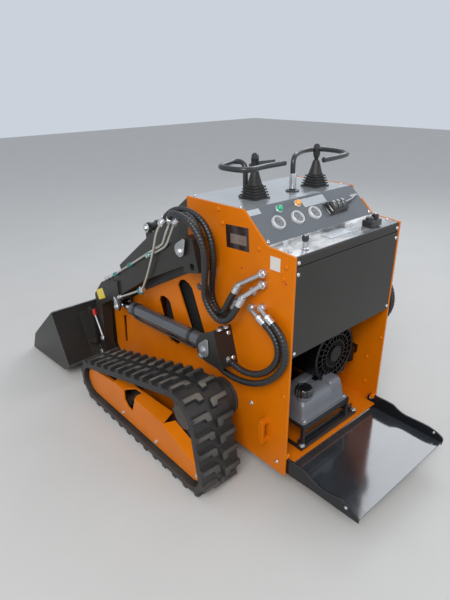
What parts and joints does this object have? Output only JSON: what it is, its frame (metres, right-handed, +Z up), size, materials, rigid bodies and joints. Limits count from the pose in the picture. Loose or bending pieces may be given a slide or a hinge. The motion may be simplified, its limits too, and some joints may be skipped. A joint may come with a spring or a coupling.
{
  "type": "skid steer loader",
  "caption": "Compact stand-on loader on rubber tracks with a lift arm pair, tilting bucket, open engine bay, console with gauges and sticks, and a fold-down platform.",
  "frame": {"origin": "centre of the bounding box in plan, on the ground under the tracks", "axes": "+X forward towards the bucket, +Y left, +Z up"},
  "size_m": [2.147, 1.14, 1.232],
  "materials": {
    "plate_orange": "semi-gloss paint",
    "panel_grey": "satin paint",
    "dash_black": "satin",
    "boot_rubber": "matte",
    "handle_black": "semi-gloss paint",
    "engine_dark": "satin paint",
    "tank_grey": "satin",
    "cap_black": "satin",
    "track_rubber": "matte, dusty",
    "wheel_dark": "satin paint",
    "arm_dark": "satin paint",
    "barrel_dark": "semi-gloss paint",
    "rod_chrome": "polished",
    "bucket_dark": "satin paint",
    "edge_steel": "worn",
    "platform_dark": "semi-gloss paint",
    "hose_rubber": "satin",
    "fitting_zinc": "zinc plated",
    "line_dark": "satin paint"
  },
  "bodies": {
    "chassis": {"side_plate_left": "plate_orange", "side_plate_right": "plate_orange", "floor_pan": "plate_orange", "nose_plate": "plate_orange", "track_frame_left": "plate_orange", "track_frame_right": "plate_orange", "hood": "panel_grey", "console_top": "panel_grey", "dash_panel": "panel_grey", "rear_strip": "panel_grey", "rear_panel": "panel_grey", "dash_gauges": "dash_black", "dash_controls": "dash_black", "joystick_left": "dash_black", "joystick_right": "dash_black", "boot_left": "boot_rubber", "boot_right": "boot_rubber", "handle_left": "handle_black", "handle_right": "handle_black", "engine_block": "engine_dark", "blower_housing": "engine_dark", "oil_filter": "engine_dark", "tank_frame": "engine_dark", "fuel_tank": "tank_grey", "tank_cap": "cap_black", "track_left": "track_rubber", "track_right": "track_rubber", "track_wheels_left": "wheel_dark", "track_wheels_right": "wheel_dark", "sprocket_left": "wheel_dark", "sprocket_right": "wheel_dark", "drive_motor_left": "wheel_dark", "drive_motor_right": "wheel_dark", "cylinder_bracket_left": "arm_dark", "cylinder_bracket_right": "arm_dark", "arm_hose_inner_left": "hose_rubber", "arm_hose_inner_right": "hose_rubber", "arm_hose_outer_left": "hose_rubber", "arm_hose_outer_right": "hose_rubber", "arm_hose_third_left": "hose_rubber", "port_hose_inner_left": "hose_rubber", "port_hose_outer_left": "hose_rubber", "hose_fittings": "fitting_zinc", "pin_keepers": "fitting_zinc"},
    "arms": {"arm_left": "arm_dark", "arm_right": "arm_dark", "arm_cross_tube": "arm_dark", "arm_tubes": "line_dark"},
    "lift_barrel_left_body": {"lift_barrel_left": "barrel_dark"},
    "lift_barrel_right_body": {"lift_barrel_right": "barrel_dark"},
    "lift_rod_left_body": {"lift_rod_left": "rod_chrome"},
    "lift_rod_right_body": {"lift_rod_right": "rod_chrome"},
    "tilt_barrel_body": {"tilt_barrel": "barrel_dark"},
    "tilt_rod_body": {"tilt_rod": "rod_chrome"},
    "attachment": {"attach_plate": "arm_dark", "attach_lever": "arm_dark", "bucket": "bucket_dark", "cutting_edge": "edge_steel"},
    "fold_platform": {"platform": "platform_dark"}
  },
  "joints": [
    {"name": "arm_lift", "type": "hinge", "parent": "chassis", "child": "arms", "pos_m": [-0.2545, 0, 0.89], "axis": [0, -1, 0], "range_deg": [0, 75], "deforming": ["arm_hose_inner_left", "arm_hose_inner_right", "arm_hose_outer_left", "arm_hose_outer_right", "arm_hose_third_left"]},
    {"name": "bucket_tilt", "type": "hinge", "parent": "arms", "child": "attachment", "pos_m": [0.5115, 0, 0.128], "axis": [0, 1, 0], "range_deg": [-20, 95]},
    {"name": "platform_fold", "type": "hinge", "parent": "chassis", "child": "fold_platform", "pos_m": [-0.7365, 0, 0.173], "axis": [0, 1, 0], "range_deg": [0, 90]},
    {"name": "lift_swing_left", "type": "hinge", "parent": "chassis", "child": "lift_barrel_left_body", "pos_m": [-0.3785, 0.346, 0.526], "axis": [0, -1, 0], "range_deg": [0, 55.2]},
    {"name": "lift_stroke_left", "type": "slide", "parent": "lift_barrel_left_body", "child": "lift_rod_left_body", "axis": [0.9974, 0, -0.0723], "range_m": [0, 0.375]},
    {"name": "lift_swing_right", "type": "hinge", "parent": "chassis", "child": "lift_barrel_right_body", "pos_m": [-0.3785, -0.346, 0.526], "axis": [0, -1, 0], "range_deg": [0, 55.2]},
    {"name": "lift_stroke_right", "type": "slide", "parent": "lift_barrel_right_body", "child": "lift_rod_right_body", "axis": [0.9974, 0, -0.0723], "range_m": [0, 0.375]},
    {"name": "tilt_swing", "type": "hinge", "parent": "arms", "child": "tilt_barrel_body", "pos_m": [0.4275, 0, 0.776], "axis": [0, 1, 0], "range_deg": [-6.6, 1.8]},
    {"name": "tilt_stroke", "type": "slide", "parent": "tilt_barrel_body", "child": "tilt_rod_body", "axis": [0.1977, 0, -0.9803], "range_m": [-0.031, 0.138]}
  ],
  "couplings": [
    {"joint": "lift_swing_left", "follows": "arm_lift", "ratio": 0.7297},
    {"joint": "lift_stroke_left", "follows": "arm_lift", "m_per_rad": 0.285},
    {"joint": "lift_swing_right", "follows": "arm_lift", "ratio": 0.7297},
    {"joint": "lift_stroke_right", "follows": "arm_lift", "m_per_rad": 0.285},
    {"joint": "tilt_swing", "follows": "bucket_tilt", "ratio": -0.0646},
    {"joint": "tilt_stroke", "follows": "bucket_tilt", "m_per_rad": 0.0821}
  ]
}
